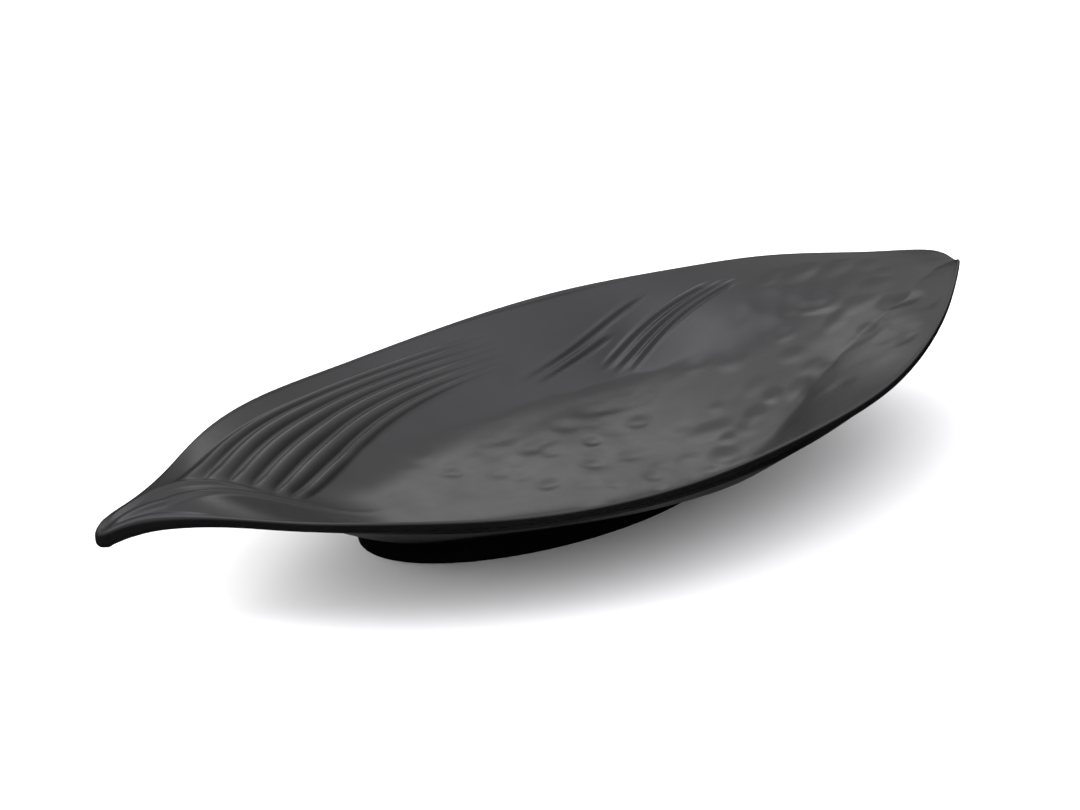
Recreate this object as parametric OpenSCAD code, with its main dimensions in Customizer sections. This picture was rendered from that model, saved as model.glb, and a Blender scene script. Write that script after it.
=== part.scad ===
// Leaf-shaped serving dish on an oval foot ring.
//
// Frame: the origin is on the table, under the middle of the leaf. +X runs from the
// stem to the leaf's tip, +Y points to the fluted flank and +Z points up.

/* [Leaf] */
// Length from the end of the stem to the tip of the leaf
leaf_l = 420; // [380:5:460]
// Width across the widest part of the leaf
leaf_w = 184; // [170:2:200]
// Height of the floor's upper face above the table
floor_z = 13; // [11:0.5:16]
// Wall thickness of the moulding
wall_t = 4; // [3:0.25:5]
// Radius of the two rounded edges of the rim
edge_r = 1.2; // [0.8:0.1:1.4]

/* [Relief] */
// Height of a flute as a share of the distance between its two valleys
flute_depth = 0.22; // [0:0.02:0.3]
// Height of the fine veins
vein_depth = 0.5; // [0:0.1:1]
// Height of the midrib's ridges along the stem
midrib_h = 1.2; // [0:0.1:2]

/* [Foot ring] */
// Length of the foot where it meets the table
foot_l = 174; // [160:2:180]
// Width of the foot where it meets the table
foot_w = 84; // [76:2:88]
// Wall thickness of the foot
foot_t = 5; // [4:0.5:7]
// Place of the foot's middle along the leaf
foot_x = -15; // [-18:1:-10]

/* [Hidden] */

dish_color = [0.13, 0.13, 0.14];
foot_color = [0.06, 0.06, 0.065];

// Control points of the rim's upper edge on the +Y side, from the stem's end to the tip:
// x, y and height above the floor. The spline through them is scaled to leaf_l and leaf_w.
RIM = [
    [-212, 0, 26], [-208, 5.5, 29.5], [-194, 7.5, 32.5], [-172, 23, 32.5], [-150, 45.5, 33],
    [-118, 65, 33], [-70, 82.5, 28.5], [-10, 94, 30], [50, 91, 36], [104, 79, 38],
    [148, 57, 45], [185, 28, 46], [209.5, 6.5, 51.5], [214.5, 0, 43]
];
// Grid lines across the leaf in each span between two control points, closest on the flutes
SPAN_STEPS = [2, 2, 4, 6, 7, 9, 10, 6, 5, 4, 3, 2, 2];
// Steps in each span of the tables that give the half-width and the rim height at any x
TABLE_STEPS = 12;

// Grid rows: steps from the centre line to the innermost valley, steps from one valley to
// the next, rows left between the outermost valley and the rim, and shares on the underside
CENTRE_STEPS = 4;
FLUTE_STEPS = 4;
FLANK_ROWS = 2;
LOWER_ROWS = [0.9, 0.8, 0.7, 0.6, 0.5, 0.38, 0.2, 0];
// Past the flutes the same rows spread over this band of the half-width, for the veins
vein_zone = [0.5, 0.84];
vein_zone_x = -5;
vein_zone_blend = 45;
// Near both ends of the leaf the rows spread out evenly and the lines fan out
end_even_x = 165;
end_even_blend = 25;
end_fan = 0.06;
end_fan_x = 150;
end_fan_blend = 40;

// Share of the half-width that is flat floor at its widest, the x of that place, the x
// distances over which it narrows to nothing, and the share taken by the bend to the flank
floor_share = 0.39;
floor_mid_x = 42;
floor_reach_stem = 200;
floor_reach_tip = 85;
bend_share = 0.35;
// Slope beyond which the wall is made no deeper, so that the rim stays slim
steepest = 1;

// The floor's centre line rises to the stem, which curls down at its end, and to the tip
stem_rise = 35;
stem_foot_x = -87;
stem_top_x = -180;
curl_drop = 10;
curl_l = 30;
tip_rise = 46;
tip_foot_x = 25;
tip_top_x = 198;

// Towards its end the stem gets thicker and rounder
stem_thicker = 3;
stem_rounder = 1.6;
stem_thin_x = -160;
stem_thick_x = -200;

// Valleys on both sides of the six flutes, from the outermost to the innermost: where each
// leaves the midrib, the share of the half-width it runs out to, and the length of its bend
VALLEYS = [
    [-192, 0.92, 26], [-172, 0.89, 24], [-160.5, 0.855, 26], [-151, 0.83, 29.5],
    [-142, 0.8, 33], [-136, 0.79, 41], [-131, 0.79, 47]
];
flute_widest = 8;
flute_fade_x = -45;
flute_end_x = 20;
// Least share of the innermost valley, and the least gap between two valleys
valley_least = 0.08;
valley_gap = 0.04;

// Fine veins: start x, start y, end x, end y, and how far the middle bows outwards
VEINS = [
    [7, 61.5, 88, 71.5, 2.5], [15, 60, 63, 65.5, 1.4],
    [47, 55.5, 115, 58, 3.3], [52, 52, 120, 55, 2.6], [59, 48.5, 125, 51.5, 3.2]
];
vein_w = 0.9;
vein_gap = 1.6;
vein_groove = 0.6;

// Midrib's ridges: y on the stem, y at the floor, x where each starts to fade and its end
MIDRIB = [[4.2, 4, -165, -135], [-5.5, 2.5, -130, -85]];
midrib_w = 1.7;
midrib_start_x = -208;
midrib_turn_x = -175;
midrib_floor_x = -105;
midrib_full_w = 14;

// The foot's wall leans outwards by this much up to the dish, and sinks a little into it
foot_lean = 5;
foot_edge = 0.8;
foot_sink = 0.7;
foot_sides = 72;

function clamp(u) = min(max(u, 0), 1);
function smooth(u) = let (v = clamp(u)) v * v * (3 - 2 * v);
function bell(d, width) = exp(-pow(d / width, 2));
function mix(a, b, share) = a + (b - a) * share;
function add(list, k = 0) = k == len(list) ? 0 : list[k] + add(list, k + 1);

// ---- Rim ----

function spline(a, b, c, d, u) =
    (pow(1 - u, 3) * a + (3 * pow(u, 3) - 6 * u * u + 4) * b
        + (-3 * pow(u, 3) + 3 * u * u + 3 * u + 1) * c + pow(u, 3) * d) / 6;

function mirrored(p) = [p.x, -p.y, p.z];

last_rim = len(RIM) - 1;
rim_points = concat([mirrored(RIM[1])], RIM, [mirrored(RIM[last_rim - 1])]);

function rim_spline(span, u) =
    spline(rim_points[span], rim_points[span + 1], rim_points[span + 2], rim_points[span + 3], u);

raw_rim = [
    for (span = [0:last_rim - 1]) for (k = [0:TABLE_STEPS - 1]) rim_spline(span, k / TABLE_STEPS),
    rim_spline(last_rim - 1, 1)
];
raw_start = raw_rim[0].x;
raw_l = raw_rim[len(raw_rim) - 1].x - raw_start;
raw_w = 2 * max([for (p = raw_rim) p.y]);

function to_size(p) = [
    (p.x - raw_start - raw_l / 2) * leaf_l / raw_l, p.y * leaf_w / raw_w, floor_z + p.z
];

rim_at = [for (p = raw_rim) to_size(p)];
width_table = [for (p = rim_at) [p.x, p.y]];
height_table = [for (p = rim_at) [p.x, p.z]];

function half_width(x) = max(lookup(x, width_table), 0.01);
function rim_height(x) = lookup(x, height_table);

// ---- Smooth surface of the dish ----

along = leaf_l / 420;
across = leaf_w / 184;

function spine_height(x) = let (s = x / along) floor_z + (s < 0
    ? stem_rise * smooth((stem_foot_x - s) / (stem_foot_x - stem_top_x))
        - curl_drop * pow(max(stem_top_x - s, 0) / curl_l, 2)
    : tip_rise * smooth((s - tip_foot_x) / (tip_top_x - tip_foot_x)));

// Share of the half-width that is flat floor at any x
function floor_at(x) =
    let (s = x / along - floor_mid_x, reach = s < 0 ? floor_reach_stem : floor_reach_tip)
    floor_share * pow(clamp(1 - pow(s / reach, 2)), 2);

// Share of the rise from the floor to the rim: nothing, then a bend, then a straight flank
function rise(share, flat) =
    let (turn = clamp((share - flat) / bend_share))
    (bend_share * (pow(turn, 3) - pow(turn, 4) / 2) + max(share - flat - bend_share, 0))
        / (1 - flat - bend_share / 2);

function plain_height(x, y) =
    let (spine = spine_height(x), share = clamp(abs(y) / half_width(x)))
    spine + (rim_height(x) - spine) * rise(share, floor_at(x));

function slope(x, y) = let (step = min(1, half_width(x) / 4), inner = max(abs(y) - step, 0))
    (plain_height(x, inner + step) - plain_height(x, inner)) / step;

function stem_share(x) = smooth((stem_thin_x - x / along) / (stem_thin_x - stem_thick_x));
function wall(x) = wall_t + stem_thicker * stem_share(x);

function under_height(x, y) =
    plain_height(x, y) - wall(x) * sqrt(1 + pow(min(slope(x, y), steepest), 2));

// ---- Relief of the upper face ----

// Share of the half-width at which a valley lies
function valley_share(k, x) =
    let (v = VALLEYS[k]) v[1] * (1 - exp(min((v[0] - x / along) / v[2], 20)));

last_valley = len(VALLEYS) - 1;

// A flute is round on its crest and sharp in its valleys. The outermost one starts softly.
function flute(k, outer, inner, y) =
    let (
        width = max(outer - inner, 0.01),
        place = clamp((outer - y) / width),
        crest = sin(180 * place)
    ) min(width, flute_widest) * (k == 0 && place < 0.5 ? crest * crest : crest);

function flutes(x, y) =
    let (
        s = x / along,
        fade = smooth((y - 3) / 8) * smooth((flute_end_x - s) / (flute_end_x - flute_fade_x))
    ) fade == 0 ? 0
        : let (ys = [for (k = [0:last_valley]) half_width(x) * valley_share(k, x)])
        fade * flute_depth * add([for (k = [0:last_valley - 1]) flute(k, ys[k], ys[k + 1], y)]);

function vein(v, s, y) =
    let (
        u = (s - v[0]) / (v[2] - v[0]),
        d = y - across * (v[1] + (v[3] - v[1]) * u + 4 * v[4] * u * (1 - u))
    ) smooth(6 * u) * smooth(6 - 6 * u) * (bell(d, vein_w) - vein_groove * bell(d + vein_gap, vein_w));

function veins(x, y) = vein_depth * add([for (v = VEINS) vein(v, x / along, y)]);

function ridge(m, x, y) =
    let (
        s = x / along,
        turn = smooth((s - midrib_turn_x) / (midrib_floor_x - midrib_turn_x)),
        middle = mix(m[0], m[1], turn) * min(half_width(x) / midrib_full_w, 1)
    ) smooth((m[3] - s) / (m[3] - m[2])) * bell(y - middle, midrib_w);

function midrib(x, y) =
    midrib_h * smooth((x / along - midrib_start_x) / 8) * add([for (m = MIDRIB) ridge(m, x, y)]);

function upper_height(x, y) = plain_height(x, y) + flutes(x, y) + veins(x, y) + midrib(x, y);

// ---- Dish ----

// Lines across the leaf run from a point on the centre line to a point on the rim
line_rims = [
    for (span = [0:last_rim - 1]) for (k = [0:SPAN_STEPS[span] - 1])
        to_size(rim_spline(span, k / SPAN_STEPS[span])),
    to_size(rim_spline(last_rim - 1, 1))
];
last_line = len(line_rims) - 1;

// The rim's edge: distance in from the outline and depth below the upper face
function edge(x) =
    let (
        radius = edge_r + stem_rounder * stem_share(x),
        corner = radius * (1 - sqrt(0.5)),
        depth = wall(x)
    ) [
        [radius, 0], [corner, corner], [0, radius],
        [0, depth - radius], [corner, depth - corner], [radius, depth]
    ];

// Rows between the innermost and the outermost valley, then the whole upper face. They
// follow the flutes, and past the flutes they close in on the veins.
zone_steps = last_valley * FLUTE_STEPS;
last_upper = CENTRE_STEPS + zone_steps + FLANK_ROWS;

function row_valley(k, x) =
    max(valley_share(k, x), valley_least + valley_gap * (last_valley - k));

function zone_row(k, x) =
    let (
        from = last_valley - min(floor(k / FLUTE_STEPS), last_valley - 1),
        part = k / FLUTE_STEPS - (last_valley - from),
        pleated = mix(row_valley(from, x), row_valley(from - 1, x), part),
        even = mix(vein_zone[0], vein_zone[1], k / zone_steps)
    ) mix(pleated, even, smooth((x / along - vein_zone_x) / vein_zone_blend));

function upper_row(k, x, reach) =
    let (
        row = k < CENTRE_STEPS ? zone_row(0, x) * k / CENTRE_STEPS
            : k <= CENTRE_STEPS + zone_steps ? zone_row(k - CENTRE_STEPS, x)
            : mix(zone_row(zone_steps, x), reach, (k - CENTRE_STEPS - zone_steps) / (FLANK_ROWS + 1))
    ) mix(row, reach * k / (last_upper + 1), smooth((abs(x / along) - end_even_x) / end_even_blend));

// Points of one line from the centre over the upper face, round the edge and back below
function line_points(rim, side) =
    let (
        fan = end_fan * smooth((abs(rim.x / along) - end_fan_x) / end_fan_blend),
        foot = [(1 - fan) * rim.x, 0],
        end = [rim.x, side * rim.y],
        outward = (end - foot) / norm(end - foot),
        rounding = edge(rim.x),
        reach = 1 - rounding[0][0] / norm(end - foot),
        at = function(share) foot + (end - foot) * share
    ) concat(
        [
            for (k = [0:last_upper])
                let (p = at(upper_row(k, rim.x, reach))) [p.x, p.y, upper_height(p.x, p.y)]
        ],
        [for (e = rounding) let (p = end - e[0] * outward) [p.x, p.y, rim.z - e[1]]],
        [for (share = LOWER_ROWS) let (p = at(share * reach)) [p.x, p.y, under_height(p.x, p.y)]]
    );

module leaf_dish() {
    back = [for (rim = line_rims) line_points(rim, 1)];
    front = [for (k = [1:last_line - 1]) line_points(line_rims[k], -1)];
    row_count = len(back[0]);
    last_row = row_count - 1;
    // The two sides share the end lines and the centre line
    points = concat(
        [for (line = back) each line],
        [for (line = front) for (k = [1:last_row - 1]) line[k]]
    );
    function shared(line, row) = line == 0 || line == last_line || row == 0 || row == last_row;
    function index(side, line, row) = side > 0 || shared(line, row)
        ? line * row_count + row
        : len(back) * row_count + (line - 1) * (row_count - 2) + row - 1;
    // A cell is cut along a-c, or along b-d where both sides would share the cut a-c
    function patch(side, line, row) = let (
        a = index(side, line, row), b = index(side, line + 1, row),
        c = index(side, line + 1, row + 1), d = index(side, line, row + 1)
    ) shared(line, row) && shared(line + 1, row + 1)
        ? (side > 0 ? [[a, d, b], [b, d, c]] : [[a, b, d], [b, c, d]])
        : (side > 0 ? [[a, d, c], [a, c, b]] : [[a, c, d], [a, b, c]]);
    faces = [
        for (side = [1, -1]) for (line = [0:last_line - 1]) for (row = [0:last_row - 1])
            each patch(side, line, row)
    ];
    color(dish_color) polyhedron(points, faces);
}

// ---- Foot ring ----

// One section of the foot at an angle round the oval, clockwise from the outer wall's top
function foot_section(angle) =
    let (
        oval = function(inset) [
            foot_x + (foot_l / 2 - inset) * cos(angle), (foot_w / 2 - inset) * sin(angle)
        ],
        top = function(inset) let (p = oval(inset)) under_height(p.x, p.y) + foot_sink,
        at = function(inset, z) let (p = oval(inset)) [p.x, p.y, z],
        outer_top = top(-foot_lean),
        rise_at = function(share) mix(foot_edge, outer_top, share)
    ) [
        at(-foot_lean, outer_top), at(-foot_lean * 0.36, rise_at(0.6)),
        at(-foot_lean * 0.09, rise_at(0.3)), at(0, foot_edge), at(foot_edge, 0),
        at(foot_t - foot_edge, 0), at(foot_t, foot_edge), at(foot_t, top(foot_t))
    ];

module foot_ring() {
    sections = [for (k = [0:foot_sides - 1]) foot_section(360 * k / foot_sides)];
    count = len(sections[0]);
    function index(side, k) = (side % foot_sides) * count + k % count;
    faces = [
        for (side = [0:foot_sides - 1]) for (k = [0:count - 1]) each [
            [index(side, k), index(side + 1, k), index(side + 1, k + 1)],
            [index(side, k), index(side + 1, k + 1), index(side, k + 1)]
        ]
    ];
    color(foot_color) polyhedron([for (s = sections) each s], faces);
}

leaf_dish();
foot_ring();
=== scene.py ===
"""Looks of the leaf-shaped serving dish: fine meshes, materials, floor, light and camera.

The dish and its foot are rebuilt here at high resolution from the same rules as the CAD
model, in millimetres, and turned into metres when the meshes are made.
"""

import math

import bpy
import numpy as np
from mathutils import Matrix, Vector


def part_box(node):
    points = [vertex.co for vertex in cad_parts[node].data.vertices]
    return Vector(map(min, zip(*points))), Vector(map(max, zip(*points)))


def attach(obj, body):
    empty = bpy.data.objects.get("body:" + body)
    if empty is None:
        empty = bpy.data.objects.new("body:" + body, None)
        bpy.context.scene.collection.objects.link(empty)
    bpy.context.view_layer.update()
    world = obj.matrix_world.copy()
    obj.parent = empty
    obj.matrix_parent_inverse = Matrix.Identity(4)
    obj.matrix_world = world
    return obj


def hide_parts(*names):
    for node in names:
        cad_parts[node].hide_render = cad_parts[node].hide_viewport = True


MM = 0.001

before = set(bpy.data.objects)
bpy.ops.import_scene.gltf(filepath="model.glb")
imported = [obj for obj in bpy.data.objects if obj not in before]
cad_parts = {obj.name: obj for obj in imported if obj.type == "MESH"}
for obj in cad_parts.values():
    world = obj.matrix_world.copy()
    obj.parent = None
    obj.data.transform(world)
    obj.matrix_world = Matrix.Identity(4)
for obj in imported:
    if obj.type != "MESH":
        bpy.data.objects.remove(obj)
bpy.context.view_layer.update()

# ---- Sizes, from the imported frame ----

dish_low, dish_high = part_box("leaf_dish")
foot_low, foot_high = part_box("foot_ring")
LEAF_L = (dish_high.x - dish_low.x) / MM
LEAF_W = (dish_high.y - dish_low.y) / MM
FLOOR_Z = 13.0
WALL = 4.0
EDGE_R = 1.2
NOMINAL_L = 420
NOMINAL_W = 184
# Stretch of the shape against the length and width that its numbers are given for
ALONG = LEAF_L / NOMINAL_L
ACROSS = LEAF_W / NOMINAL_W

# ---- The dish's shape, as in the CAD model but with deeper flutes and veins ----

# Control points of the rim's upper edge: x, y, height above the floor
RIM = np.array([
    (-212, 0, 26), (-208, 5.5, 29.5), (-194, 7.5, 32.5), (-172, 23, 32.5), (-150, 45.5, 33),
    (-118, 65, 33), (-70, 82.5, 28.5), (-10, 94, 30), (50, 91, 36), (104, 79, 38),
    (148, 57, 45), (185, 28, 46), (209.5, 6.5, 51.5), (214.5, 0, 43),
], float)

FLOOR_SHARE = 0.39
FLOOR_MID_X = 42
FLOOR_REACH_STEM = 200
FLOOR_REACH_TIP = 85
BEND_SHARE = 0.35
STEEPEST = 1.0
SLOPE_STEP = 1
LEAST_WIDTH = 0.01

STEM_RISE = 35
STEM_FOOT_X = -87
STEM_TOP_X = -180
CURL_DROP = 10
CURL_LENGTH = 30
TIP_RISE = 46
TIP_FOOT_X = 25
TIP_TOP_X = 198
STEM_THICKER = 3.0
STEM_ROUNDER = 1.6
STEM_THIN_X = -160
STEM_THICK_X = -200

# Valleys on both sides of the six flutes, from the outermost to the innermost: start x on
# the midrib, share of the half-width they run out to, bend length
VALLEYS = np.array([
    (-192, 0.92, 26), (-172, 0.89, 24), (-160.5, 0.855, 26), (-151, 0.83, 29.5),
    (-142, 0.8, 33), (-136, 0.79, 41), (-131, 0.79, 47),
], float)
FLUTE_DEPTH = 0.27
FLUTE_WIDEST = 8
FLUTE_START_Y = 3
FLUTE_START_FADE = 12
FLUTE_FADE_X = -45
FLUTE_END_X = 20

# Fine veins: start x, start y, end x, end y, bow of the middle
VEINS = [
    (7, 61.5, 88, 71.5, 2.5), (15, 60, 63, 65.5, 1.4),
    (47, 55.5, 115, 58, 3.3), (52, 52, 120, 55, 2.6), (59, 48.5, 125, 51.5, 3.2),
]
VEIN_DEPTH = 0.8
VEIN_W = 0.9
VEIN_GAP = 1.6
VEIN_GROOVE = 0.8
VEIN_END = 1 / 6

# Ridges of the midrib: y on the stem, y where they reach the floor, x where they fade, end x
MIDRIB = [(4.2, 4, -165, -135), (-5.5, 2.5, -130, -85)]
MIDRIB_H = 1.2
MIDRIB_W = 1.7
MIDRIB_START_X = -208
MIDRIB_START_FADE = 8
MIDRIB_FULL_WIDTH = 14
MIDRIB_TURN_X = -175
MIDRIB_FLOOR_X = -105


def smooth(u):
    v = np.clip(u, 0, 1)
    return v * v * (3 - 2 * v)


def bell(d, width):
    return np.exp(-(d / width) ** 2)


def rim_curve(steps):
    """Points of the rim on the +Y side, scaled to the leaf's length and width."""
    mirror = np.array([1, -1, 1])
    controls = np.vstack([RIM[1] * mirror, RIM, RIM[-2] * mirror])
    u = np.linspace(0, 1, steps, endpoint=False)[:, None]
    weights = [(1 - u) ** 3, 3 * u**3 - 6 * u**2 + 4, -3 * u**3 + 3 * u**2 + 3 * u + 1, u**3]
    spans = [
        sum(w * controls[span + k] for k, w in enumerate(weights)) / 6
        for span in range(len(RIM) - 1)
    ]
    end = (controls[-3] + 4 * controls[-2] + controls[-1]) / 6
    points = np.vstack([*spans, end])
    points[:, 0] -= (points[0, 0] + points[-1, 0]) / 2
    points[:, 0] *= LEAF_L / (points[-1, 0] - points[0, 0])
    points[:, 1] *= LEAF_W / 2 / points[:, 1].max()
    points[:, 2] += FLOOR_Z
    return points


RIM_CURVE = rim_curve(60)


def half_width(x):
    return np.maximum(np.interp(x, RIM_CURVE[:, 0], RIM_CURVE[:, 1]), LEAST_WIDTH)


def rim_height(x):
    return np.interp(x, RIM_CURVE[:, 0], RIM_CURVE[:, 2])


def spine_height(x):
    s = x / ALONG
    stem = STEM_RISE * smooth((STEM_FOOT_X - s) / (STEM_FOOT_X - STEM_TOP_X))
    curl = CURL_DROP * (np.maximum(STEM_TOP_X - s, 0) / CURL_LENGTH) ** 2
    tip = TIP_RISE * smooth((s - TIP_FOOT_X) / (TIP_TOP_X - TIP_FOOT_X))
    return FLOOR_Z + np.where(s < 0, stem - curl, tip)


def floor_share(x):
    """Share of the half-width that is flat floor."""
    s = x / ALONG - FLOOR_MID_X
    reach = np.where(s < 0, FLOOR_REACH_STEM, FLOOR_REACH_TIP)
    return FLOOR_SHARE * np.clip(1 - (s / reach) ** 2, 0, 1) ** 2


def rise(share, flat):
    """Share of the rise from the floor to the rim: nothing, then a bend, then a flank."""
    turn = np.clip((share - flat) / BEND_SHARE, 0, 1)
    bend = BEND_SHARE * (turn**3 - turn**4 / 2)
    flank = np.maximum(share - flat - BEND_SHARE, 0)
    return (bend + flank) / (1 - flat - BEND_SHARE / 2)


def stem_share(x):
    """How far the wall has thickened towards the end of the stem."""
    return smooth((STEM_THIN_X - x / ALONG) / (STEM_THIN_X - STEM_THICK_X))


def wall(x):
    return WALL + STEM_THICKER * stem_share(x)


def plain_height(x, y):
    spine = spine_height(x)
    share = np.clip(np.abs(y) / half_width(x), 0, 1)
    return spine + (rim_height(x) - spine) * rise(share, floor_share(x))


def under_height(x, y):
    step = np.minimum(SLOPE_STEP, half_width(x) / 4)
    inner = np.maximum(np.abs(y) - step, 0)
    slope = (plain_height(x, inner + step) - plain_height(x, inner)) / step
    return plain_height(x, y) - wall(x) * np.sqrt(1 + np.minimum(slope, STEEPEST) ** 2)


# ---- Relief of the upper face ----

def valley_shares(x):
    """Shares of the half-width at which the seven valleys lie at each x."""
    start, share, bend = VALLEYS.T[:, :, None]
    return share * (1 - np.exp(np.clip((start - x / ALONG) / bend, -50, 20)))


def flutes(x, y):
    """Six pleats with round crests and sharp valleys that fan out over the +Y flank."""
    s = x / ALONG
    ys = half_width(x) * valley_shares(x)
    height = np.zeros_like(x)
    for k, (outer, inner) in enumerate(zip(ys[:-1], ys[1:])):
        width = np.maximum(outer - inner, LEAST_WIDTH)
        across = np.clip((outer - y) / width, 0, 1)
        crest = np.sin(math.pi * across)
        if k == 0:
            crest = np.where(across < 0.5, crest**2, crest)
        height += np.minimum(width, FLUTE_WIDEST) * crest
    near = smooth((y - FLUTE_START_Y) / FLUTE_START_FADE)
    fade = near * smooth((FLUTE_END_X - s) / (FLUTE_END_X - FLUTE_FADE_X))
    return fade * FLUTE_DEPTH * height


def veins(x, y):
    """Fine ridges with a shallow groove on their inner side."""
    s = x / ALONG
    height = np.zeros_like(x)
    for x0, y0, x1, y1, bow in VEINS:
        u = (s - x0) / (x1 - x0)
        d = y - ACROSS * (y0 + (y1 - y0) * u + 4 * bow * u * (1 - u))
        ends = smooth(u / VEIN_END) * smooth((1 - u) / VEIN_END)
        height += ends * (bell(d, VEIN_W) - VEIN_GROOVE * bell(d + VEIN_GAP, VEIN_W))
    return VEIN_DEPTH * height


def midrib(x, y):
    s = x / ALONG
    height = np.zeros_like(x)
    for stem_y, floor_y, fade_x, end_x in MIDRIB:
        turn = smooth((s - MIDRIB_TURN_X) / (MIDRIB_FLOOR_X - MIDRIB_TURN_X))
        squeeze = np.minimum(half_width(x) / MIDRIB_FULL_WIDTH, 1)
        middle = (stem_y + (floor_y - stem_y) * turn) * squeeze
        fade = smooth((end_x - s) / (end_x - fade_x))
        height += fade * bell(y - middle, MIDRIB_W)
    return MIDRIB_H * smooth((s - MIDRIB_START_X) / MIDRIB_START_FADE) * height


# Hammered dimples: even spacing with a random shift, size, depth and direction. A negative
# depth is a low bump.
DIMPLE_SPACING = 13.0
DIMPLE_SEED = 11
DIMPLE_X = (-90, 205)
DIMPLE_Y = (-80, 81)
DIMPLE_SHIFT = 0.45
DIMPLE_RADIUS = (4.5, 8.5)
DIMPLE_STRETCH = (1.0, 1.8)
DIMPLE_TURN = 0.6
DIMPLE_DEPTH = (-0.25, 0.85)

# Where they stop: share of the half-width on the far and near flank, how much further they
# reach on the far flank at the tip, and the x at which they start and end
DIMPLE_FAR_SHARE = 0.5
DIMPLE_NEAR_SHARE = 0.9
DIMPLE_SHARE_FADE = 0.15
DIMPLE_TIP_SHARE = 0.30
DIMPLE_TIP_X = 95
DIMPLE_TIP_FADE = 50
DIMPLE_START_X = -70
DIMPLE_START_SLANT = 0.5
DIMPLE_START_FADE = 40
DIMPLE_END_X = 204
DIMPLE_END_FADE = 12


def dimple_table():
    random = np.random.default_rng(DIMPLE_SEED)
    rows = []
    for x in np.arange(*DIMPLE_X, DIMPLE_SPACING):
        for y in np.arange(*DIMPLE_Y, DIMPLE_SPACING):
            shift = random.uniform(-DIMPLE_SHIFT, DIMPLE_SHIFT, 2) * DIMPLE_SPACING
            radius = random.uniform(*DIMPLE_RADIUS)
            stretch = random.uniform(*DIMPLE_STRETCH)
            turn = random.uniform(-DIMPLE_TURN, DIMPLE_TURN)
            depth = random.uniform(*DIMPLE_DEPTH)
            rows.append((x + shift[0], y + shift[1], radius, stretch, turn, depth))
    return rows


def dimples(x, y):
    """Shallow hammer marks over the floor and the whole of the tip end."""
    height = np.zeros_like(x)
    for cx, cy, radius, stretch, turn, depth in dimple_table():
        dx, dy = x - cx, y - cy
        u = (dx * math.cos(turn) + dy * math.sin(turn)) / (radius * stretch)
        v = (dy * math.cos(turn) - dx * math.sin(turn)) / radius
        height -= depth * np.clip(1 - u * u - v * v, 0, 1) ** 2
    share = np.abs(y) / half_width(x)
    s = x / ALONG
    far_edge = DIMPLE_FAR_SHARE + DIMPLE_TIP_SHARE * smooth((s - DIMPLE_TIP_X) / DIMPLE_TIP_FADE)
    edge = np.where(y > 0, far_edge, DIMPLE_NEAR_SHARE)
    start = smooth((s - DIMPLE_START_X + DIMPLE_START_SLANT * y) / DIMPLE_START_FADE)
    end = smooth((DIMPLE_END_X - s) / DIMPLE_END_FADE)
    return height * smooth((edge - share) / DIMPLE_SHARE_FADE) * start * end


# Waver of the creases: size, length of one radian, phase
CREASE_WAVES = [(0.91, 7.0, 0.0), (0.56, 3.1, 1.0)]
CREASE_SIDE_FADE = 8
# Creases where the hammered floor meets the flanks: the side, points x and y along it, the
# depth, the width and the x range over which it fades at either end
CREASES = [
    (1, [(-110, 34), (-75, 42), (-50, 45), (-20, 49), (10, 52), (30, 54), (50, 50), (70, 42),
         (90, 34)], 0.9, 6.0, (-110, -80, 70, 100)),
    (-1, [(30, -40), (60, -40), (76, -39), (90, -36), (108, -29), (128, -22), (147, -19),
          (166, -14), (180, -8), (200, -2)], 1.0, 7.0, (40, 95, 192, 204)),
]


def creases(x, y):
    s = x / ALONG
    waver = sum(size * np.sin(s / length + phase) for size, length, phase in CREASE_WAVES)
    height = np.zeros_like(x)
    for side, line, depth, width, (start, full, fade, end) in CREASES:
        line = np.array(line, float)
        middle = ACROSS * (np.interp(s, line[:, 0], line[:, 1]) + waver)
        ends = smooth((s - start) / (full - start)) * smooth((end - s) / (end - fade))
        ends = ends * smooth(side * y / CREASE_SIDE_FADE + (side < 0))
        height -= depth * ends * np.exp(-np.abs(y - middle) / width)
    return height


def upper_height(x, y):
    relief = flutes(x, y) + veins(x, y) + midrib(x, y)
    return plain_height(x, y) + relief + dimples(x, y) + creases(x, y)


# ---- Meshes ----

def make_object(name, points, faces, body, slot, replaced, material):
    mesh = bpy.data.meshes.new(name)
    mesh.from_pydata((np.asarray(points) * MM).tolist(), [], faces)
    mesh.polygons.foreach_set("use_smooth", [True] * len(mesh.polygons))
    mesh.materials.append(material)
    mesh.update()
    piece = bpy.data.objects.new(name, mesh)
    bpy.context.scene.collection.objects.link(piece)
    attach(piece, body)
    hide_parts(replaced)
    return piece


# Lines across the leaf, rows from the centre line to the rim, round the edge and back below
CENTRE_ROWS = 26
ZONE_ROWS = 48
FLANK_ROWS = 16
LOWER_ROWS = 34
EDGE_STEPS = 7
LINE_STEP = 0.9
VEIN_ZONE = (0.5, 0.84)
# Towards both ends of the leaf the lines fan out from the centre line
END_FAN = 0.06
END_FAN_X = 150
END_FAN_LENGTH = 40
# The middle rows follow the flutes, and from ZONE_TURN_X on they turn into the vein zone.
# Past EVEN_X, at both ends, all rows spread evenly.
ZONE_TURN_X = -5
ZONE_TURN_LENGTH = 45
EVEN_X = 165
EVEN_LENGTH = 25
LEAST_VALLEY_SHARE = 0.08
LEAST_VALLEY_GAP = 0.04
RIM_STEPS = 200
RIM_EASE = 0.7


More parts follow.
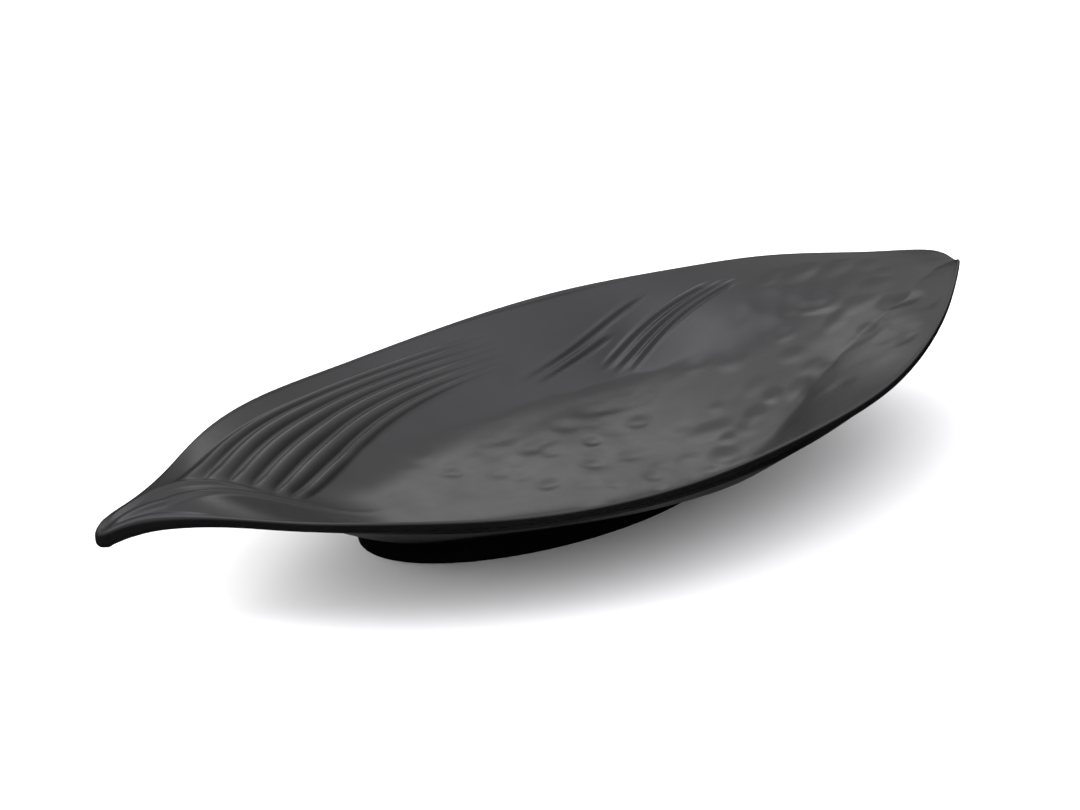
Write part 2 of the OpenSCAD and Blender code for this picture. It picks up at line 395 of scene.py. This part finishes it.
def rim_lines():
    """Rim points an even distance apart along the rim, closer together at both ends."""
    curve = rim_curve(RIM_STEPS)
    steps = np.linalg.norm(np.diff(curve, axis=0), axis=1)
    length = np.concatenate([[0], np.cumsum(steps)])
    count = int(length[-1] / LINE_STEP)
    even = np.linspace(0, 1, count + 1)
    eased = even - RIM_EASE * np.sin(2 * math.pi * even) / (2 * math.pi)
    at = eased * length[-1]
    return np.stack([np.interp(at, length, curve[:, k]) for k in range(3)], axis=1)


def upper_rows(x, reach):
    """Shares of the upper rows on each line: they follow the flutes, then hold the veins."""
    last = len(VALLEYS) - 1
    least = LEAST_VALLEY_SHARE + LEAST_VALLEY_GAP * (last - np.arange(last + 1))
    valleys = np.maximum(valley_shares(x), least[:, None])[::-1]
    at = np.linspace(0, last, ZONE_ROWS + 1)
    low = np.minimum(at.astype(int), last - 1)
    part = (at - low)[:, None]
    pleated = valleys[low] * (1 - part) + valleys[low + 1] * part
    even = np.linspace(*VEIN_ZONE, ZONE_ROWS + 1)[:, None]
    zone = pleated + (even - pleated) * smooth((x / ALONG - ZONE_TURN_X) / ZONE_TURN_LENGTH)
    centre = zone[0] * np.linspace(0, 1, CENTRE_ROWS, endpoint=False)[:, None]
    flank = zone[-1] + (reach - zone[-1]) * np.linspace(0, 1, FLANK_ROWS + 1)[1:-1, None]
    rows = np.vstack([centre, zone, flank])
    spread = reach * np.linspace(0, 1, len(rows), endpoint=False)[:, None]
    return (rows + (spread - rows) * smooth((np.abs(x / ALONG) - EVEN_X) / EVEN_LENGTH)).T


def edge_profile(x):
    """Distance in from the outline and depth below the upper face, down round the rim."""
    turn = np.linspace(0, math.pi / 2, EDGE_STEPS)
    radius = (EDGE_R + STEM_ROUNDER * stem_share(x))[:, None]
    inset = radius * (1 - np.sin(turn))
    depth = radius * (1 - np.cos(turn))
    below = wall(x)[:, None] - depth[:, ::-1]
    return np.hstack([inset, inset[:, ::-1]]), np.hstack([depth, below])


def dish_side(rims, side):
    """Points of one side as a grid of lines and rows."""
    lean_in = END_FAN * smooth((np.abs(rims[:, 0] / ALONG) - END_FAN_X) / END_FAN_LENGTH)
    foot = np.stack([(1 - lean_in) * rims[:, 0], np.zeros(len(rims))], axis=1)
    end = rims[:, :2] * (1, side)
    span = end - foot
    length = np.linalg.norm(span, axis=1)
    inset, depth = edge_profile(rims[:, 0])
    reach = 1 - inset[:, 0] / length

    def at(shares):
        flat = foot[:, None] + span[:, None] * shares[..., None]
        return flat[..., 0], flat[..., 1]

    ux, uy = at(upper_rows(rims[:, 0], reach))
    lx, ly = at(reach[:, None] * np.linspace(1, 0, LOWER_ROWS)[1:])
    ring = end[:, None] - (span / length[:, None])[:, None] * inset[..., None]
    rows_x = np.concatenate([ux, ring[..., 0], lx], axis=1)
    rows_y = np.concatenate([uy, ring[..., 1], ly], axis=1)
    edge_z = rims[:, 2][:, None] - depth
    upper_z = upper_height(ux.ravel(), uy.ravel()).reshape(ux.shape)
    lower_z = under_height(lx.ravel(), ly.ravel()).reshape(lx.shape)
    rows_z = np.concatenate([upper_z, edge_z, lower_z], axis=1)
    return np.stack([rows_x, rows_y, rows_z], axis=2)


def dish_mesh():
    rims = rim_lines()
    back, front = dish_side(rims, 1), dish_side(rims, -1)
    lines, rows = back.shape[:2]
    back_index = np.arange(lines * rows).reshape(lines, rows)
    front_index = back_index.copy()
    inner = (lines - 2) * (rows - 2)
    front_index[1:-1, 1:-1] = lines * rows + np.arange(inner).reshape(lines - 2, rows - 2)
    points = np.concatenate([back.reshape(-1, 3), front[1:-1, 1:-1].reshape(-1, 3)])
    faces = []
    for index, order in ((back_index, 1), (front_index, -1)):
        quads = np.stack(
            [index[:-1, :-1], index[:-1, 1:], index[1:, 1:], index[1:, :-1]], axis=2
        ).reshape(-1, 4)[:, ::order]
        faces += [tuple(quad) for quad in quads.tolist()]
    return points, faces


# ---- Foot ring ----

FOOT_LEAN = 5.0
FOOT_WALL = 5.0
FOOT_EDGE = 0.8
FOOT_SINK = 0.7
FOOT_SIDES = 240
FOOT_OUTER_ROWS = 7
FOOT_INNER_ROWS = 5
FOOT_EDGE_ROWS = 5


def foot_mesh():
    middle = (foot_low.x + foot_high.x) / 2 / MM
    half_l = (foot_high.x - foot_low.x) / 2 / MM - FOOT_LEAN
    half_w = (foot_high.y - foot_low.y) / 2 / MM - FOOT_LEAN
    angle = np.linspace(0, 2 * math.pi, FOOT_SIDES, endpoint=False)

    def ring(inset):
        return middle + (half_l - inset) * np.cos(angle), (half_w - inset) * np.sin(angle)

    corner = np.linspace(0, math.pi / 2, FOOT_EDGE_ROWS)
    sections = []
    x, y = ring(-FOOT_LEAN)
    top = under_height(x, y) + FOOT_SINK
    for share in np.linspace(1, 0, FOOT_OUTER_ROWS):
        lean = -FOOT_LEAN * share**2
        x, y = ring(lean)
        sections.append((x, y, FOOT_EDGE + (top - FOOT_EDGE) * share))
    for turn in corner[1:]:
        x, y = ring(FOOT_EDGE * (1 - math.cos(turn)))
        sections.append((x, y, np.full_like(x, FOOT_EDGE * (1 - math.sin(turn)))))
    for turn in corner[::-1][:-1]:
        x, y = ring(FOOT_WALL - FOOT_EDGE * (1 - math.cos(turn)))
        sections.append((x, y, np.full_like(x, FOOT_EDGE * (1 - math.sin(turn)))))
    x, y = ring(FOOT_WALL)
    inner_top = under_height(x, y) + FOOT_SINK
    for share in np.linspace(0, 1, FOOT_INNER_ROWS):
        sections.append((x, y, FOOT_EDGE + (inner_top - FOOT_EDGE) * share))
    grid = np.stack([np.stack(s, axis=1) for s in sections], axis=1)
    sides, count = grid.shape[:2]
    faces = []
    for side in range(sides):
        for k in range(count):
            after, up = (side + 1) % sides, (k + 1) % count
            faces.append((
                side * count + k, side * count + up, after * count + up, after * count + k
            ))
    return grid.reshape(-1, 3), faces


# ---- Materials ----

# Pointiness at which an outward edge starts to show wear and is fully worn
WEAR_STARTS = 0.52
WEAR_FULL = 0.60


class Nodes:
    """Short calls for building one material's node tree."""

    def __init__(self, name):
        self.material = bpy.data.materials.new(name)
        self.material.use_nodes = True
        self.tree = self.material.node_tree
        self.shader = self.tree.nodes["Principled BSDF"]
        self.coords = self.tree.nodes.new("ShaderNodeTexCoord").outputs["Object"]

    def link(self, source, target):
        self.tree.links.new(source, target)

    def noise(self, size_mm, detail, roughness=0.5):
        mapping = self.tree.nodes.new("ShaderNodeMapping")
        mapping.inputs["Scale"].default_value = [1 / (size_mm * MM)] * 3
        texture = self.tree.nodes.new("ShaderNodeTexNoise")
        texture.inputs["Scale"].default_value = 1.0
        texture.inputs["Detail"].default_value = detail
        texture.inputs["Roughness"].default_value = roughness
        self.link(self.coords, mapping.inputs["Vector"])
        self.link(mapping.outputs["Vector"], texture.inputs["Vector"])
        return texture.outputs["Fac"]

    def ramp(self, factor, stops):
        node = self.tree.nodes.new("ShaderNodeValToRGB")
        elements = node.color_ramp.elements
        while len(elements) < len(stops):
            elements.new(0.5)
        for element, (place, color) in zip(elements, stops):
            element.position = place
            element.color = (*color, 1)
        self.link(factor, node.inputs["Fac"])
        return node.outputs["Color"]

    def map_range(self, value, low, high, to_low, to_high):
        node = self.tree.nodes.new("ShaderNodeMapRange")
        for name, number in (
            ("From Min", low), ("From Max", high), ("To Min", to_low), ("To Max", to_high)
        ):
            node.inputs[name].default_value = number
        self.link(value, node.inputs["Value"])
        return node.outputs["Result"]

    def math(self, operation, *values):
        node = self.tree.nodes.new("ShaderNodeMath")
        node.operation = operation
        for socket, value in zip(node.inputs, values):
            if isinstance(value, (int, float)):
                socket.default_value = value
            else:
                self.link(value, socket)
        return node.outputs["Value"]

    def worn_edges(self, patch_mm):
        """Patchy wear on the outward edges, from 0 to 1."""
        geometry = self.tree.nodes.new("ShaderNodeNewGeometry")
        edges = self.map_range(geometry.outputs["Pointiness"], WEAR_STARTS, WEAR_FULL, 0, 1)
        patches = self.map_range(self.noise(patch_mm, detail=5), 0.42, 0.62, 0.15, 1)
        return self.math("MULTIPLY", edges, patches)

    def mix(self, factor, color, other):
        node = self.tree.nodes.new("ShaderNodeMix")
        node.data_type = "RGBA"
        node.inputs["B"].default_value = (*other, 1)
        self.link(factor, node.inputs["Factor"])
        self.link(color, node.inputs["A"])
        return node.outputs["Result"]

    def bump(self, height, depth_mm, after=None):
        node = self.tree.nodes.new("ShaderNodeBump")
        node.inputs["Distance"].default_value = depth_mm * MM
        node.inputs["Strength"].default_value = 1.0
        self.link(height, node.inputs["Height"])
        if after is not None:
            self.link(after, node.inputs["Normal"])
        return node.outputs["Normal"]


def satin_black():
    """Moulded satin black: faint cloudiness, handling haze, polished edges, orange peel."""
    n = Nodes("satin_black")
    wear = n.worn_edges(14)
    cloud = n.ramp(n.noise(38, detail=4), [(0.3, (0.003,) * 3), (0.7, (0.0045,) * 3)])
    n.link(n.mix(wear, cloud, (0.012, 0.012, 0.0125)), n.shader.inputs["Base Color"])
    haze = n.map_range(n.noise(22, detail=6, roughness=0.6), 0.3, 0.7, 0.29, 0.37)
    n.link(n.math("MULTIPLY_ADD", wear, -0.07, haze), n.shader.inputs["Roughness"])
    peel = n.bump(n.noise(1.6, detail=2), 0.02)
    waves = n.bump(n.noise(9, detail=2), 0.05, after=peel)
    n.link(waves, n.shader.inputs["Normal"])
    n.shader.inputs["IOR"].default_value = 1.48
    return n.material


def foot_black_painted_shade():
    """The foot's black: the dish's black made darker, duller and less shiny, as painted shade
    for the shadow the foot stands in; finely textured, and rubbed where it meets the table.
    """
    n = Nodes("foot_black_painted_shade")
    wear = n.worn_edges(9)
    # Base black darker than the dish's own: painted shade for the shadow under the dish
    cloud = n.ramp(n.noise(12, detail=5), [(0.3, (0.0012,) * 3), (0.7, (0.002,) * 3)])
    n.link(n.mix(wear, cloud, (0.006, 0.006, 0.006)), n.shader.inputs["Base Color"])
    haze = n.map_range(n.noise(7, detail=5), 0.3, 0.7, 0.48, 0.60)
    n.link(n.math("MULTIPLY_ADD", wear, -0.08, haze), n.shader.inputs["Roughness"])
    n.link(n.bump(n.noise(0.9, detail=3), 0.03), n.shader.inputs["Normal"])
    n.shader.inputs["IOR"].default_value = 1.45
    # Low specular so the foot mirrors little light: painted shade as well
    n.shader.inputs["Specular IOR Level"].default_value = 0.1
    return n.material


def pale_floor():
    n = Nodes("pale_floor")
    grain = n.noise(60, detail=2)
    n.link(
        n.ramp(grain, [(0.0, (0.90, 0.90, 0.90)), (1.0, (0.92, 0.92, 0.92))]),
        n.shader.inputs["Base Color"],
    )
    n.shader.inputs["Roughness"].default_value = 0.9
    return n.material


# ---- Stage, light and camera ----

FLOOR_SIZE = 20.0

# The light tent: direction, cosines where a glow starts and is full, colour, brightness
GLOWS = [
    ((0.0, 0.0, 1.0), 0.0, 0.75, (1.0, 0.99, 1.02), 1.0),
    ((-0.30, 0.20, 0.93), 0.90, 0.98, (1.0, 0.97, 1.05), 2.2),
    ((0.84, 0.48, 0.26), 0.85, 1.0, (1.0, 1.0, 0.98), 0.3),
    ((0.38, -0.20, 0.90), 0.86, 0.97, (1.0, 0.97, 1.05), 0.9),
    ((0.35, 0.75, -0.56), 0.88, 1.0, (1.0, 1.0, 1.0), 0.12),
]
DOME_BASE = 0.003


def make_floor():
    half = FLOOR_SIZE / 2
    mesh = bpy.data.meshes.new("floor")
    corners = [(-half, -half, 0), (half, -half, 0), (half, half, 0), (-half, half, 0)]
    mesh.from_pydata(corners, [], [(0, 1, 2, 3)])
    mesh.materials.append(pale_floor())
    floor = bpy.data.objects.new("floor", mesh)
    bpy.context.scene.collection.objects.link(floor)
    # The pale floor lights the dish from below, but isn't mirrored in it
    floor.visible_glossy = False


def make_world():
    """A light tent that is bright overhead, dark at the horizon and faint below."""
    world = bpy.data.worlds.new("studio")
    bpy.context.scene.world = world
    world.use_nodes = True
    tree = world.node_tree
    coords = tree.nodes.new("ShaderNodeTexCoord").outputs["Generated"]
    total = None
    for toward, start, full, color, brightness in GLOWS:
        dot = tree.nodes.new("ShaderNodeVectorMath")
        dot.operation = "DOT_PRODUCT"
        dot.inputs[1].default_value = Vector(toward).normalized()
        tree.links.new(coords, dot.inputs[0])
        fall = tree.nodes.new("ShaderNodeMapRange")
        fall.interpolation_type = "SMOOTHSTEP"
        fall.inputs["From Min"].default_value = start
        fall.inputs["From Max"].default_value = full
        tree.links.new(dot.outputs["Value"], fall.inputs["Value"])
        glow = tree.nodes.new("ShaderNodeVectorMath")
        glow.operation = "MULTIPLY_ADD"
        glow.inputs[0].default_value = [brightness * part for part in color]
        tree.links.new(fall.outputs["Result"], glow.inputs[1])
        if total is None:
            glow.inputs[2].default_value = (DOME_BASE, DOME_BASE, DOME_BASE)
        else:
            tree.links.new(total, glow.inputs[2])
        total = glow.outputs["Vector"]
    tree.links.new(total, tree.nodes["Background"].inputs["Color"])


# Soft lights on the floor: azimuth from +X, elevation and angular size in degrees, strength
SUNS = [
    ("sky", 0, 90, 180, 0.9),
    ("front", -100, 50, 80, 0.6),
    ("window", 135, 30, 50, 3.6),
]


def make_suns():
    """Wide soft lights that shape the shadow and aren't mirrored in the dish."""
    for name, azimuth, elevation, spread, strength in SUNS:
        azimuth, elevation = math.radians(azimuth), math.radians(elevation)
        toward = Vector((
            math.cos(elevation) * math.cos(azimuth),
            math.cos(elevation) * math.sin(azimuth),
            math.sin(elevation),
        ))
        data = bpy.data.lights.new(name, "SUN")
        data.energy = strength
        data.angle = math.radians(spread)
        light = bpy.data.objects.new(name, data)
        light.rotation_euler = (-toward).to_track_quat("-Z", "Y").to_euler()
        light.visible_glossy = False
        bpy.context.scene.collection.objects.link(light)


SOFTBOX_PLACE = Vector((0.20, 0.38, 0.27))
SOFTBOX_SIZE = (0.28, 0.22)
SOFTBOX_SPREAD = 44
SOFTBOX_POWER = 0.017


def make_softbox():
    """A near softbox behind the dish, mirrored mostly in its flat floor."""
    data = bpy.data.lights.new("softbox", "AREA")
    data.shape = "RECTANGLE"
    data.size, data.size_y = SOFTBOX_SIZE
    data.energy = SOFTBOX_POWER
    data.spread = math.radians(SOFTBOX_SPREAD)
    light = bpy.data.objects.new("softbox", data)
    light.location = SOFTBOX_PLACE
    light.rotation_euler = (-SOFTBOX_PLACE).to_track_quat("-Z", "Y").to_euler()
    light.visible_camera = False
    bpy.context.scene.collection.objects.link(light)


CAMERA_AZIMUTH = math.radians(-32.85)
CAMERA_ELEVATION = math.radians(25)
CAMERA_DISTANCE = 0.8918
CAMERA_TARGET = Vector((0.03007, 0.07615, 0))
CAMERA_LENS = 64.67
CAMERA_SENSOR = 36


def make_camera():
    back = Vector((
        math.sin(CAMERA_AZIMUTH) * math.cos(CAMERA_ELEVATION),
        -math.cos(CAMERA_AZIMUTH) * math.cos(CAMERA_ELEVATION),
        math.sin(CAMERA_ELEVATION),
    ))
    data = bpy.data.cameras.new("camera")
    data.sensor_width = CAMERA_SENSOR
    data.lens = CAMERA_LENS
    data.clip_start, data.clip_end = 0.01, 50
    camera = bpy.data.objects.new("camera", data)
    camera.location = CAMERA_TARGET + back * CAMERA_DISTANCE
    camera.rotation_euler = (-back).to_track_quat("-Z", "Y").to_euler()
    bpy.context.scene.collection.objects.link(camera)
    bpy.context.scene.camera = camera


make_camera()
make_object("leaf_dish_fine", *dish_mesh(), "root", "dish_satin", "leaf_dish", satin_black())
# The foot gets the dish's black made darker and less shiny: painted shade
make_object("foot_ring_fine", *foot_mesh(), "root", "foot_matt", "foot_ring", foot_black_painted_shade())
make_floor()
make_world()
make_suns()
make_softbox()
bpy.context.scene.view_settings.view_transform = "Standard"
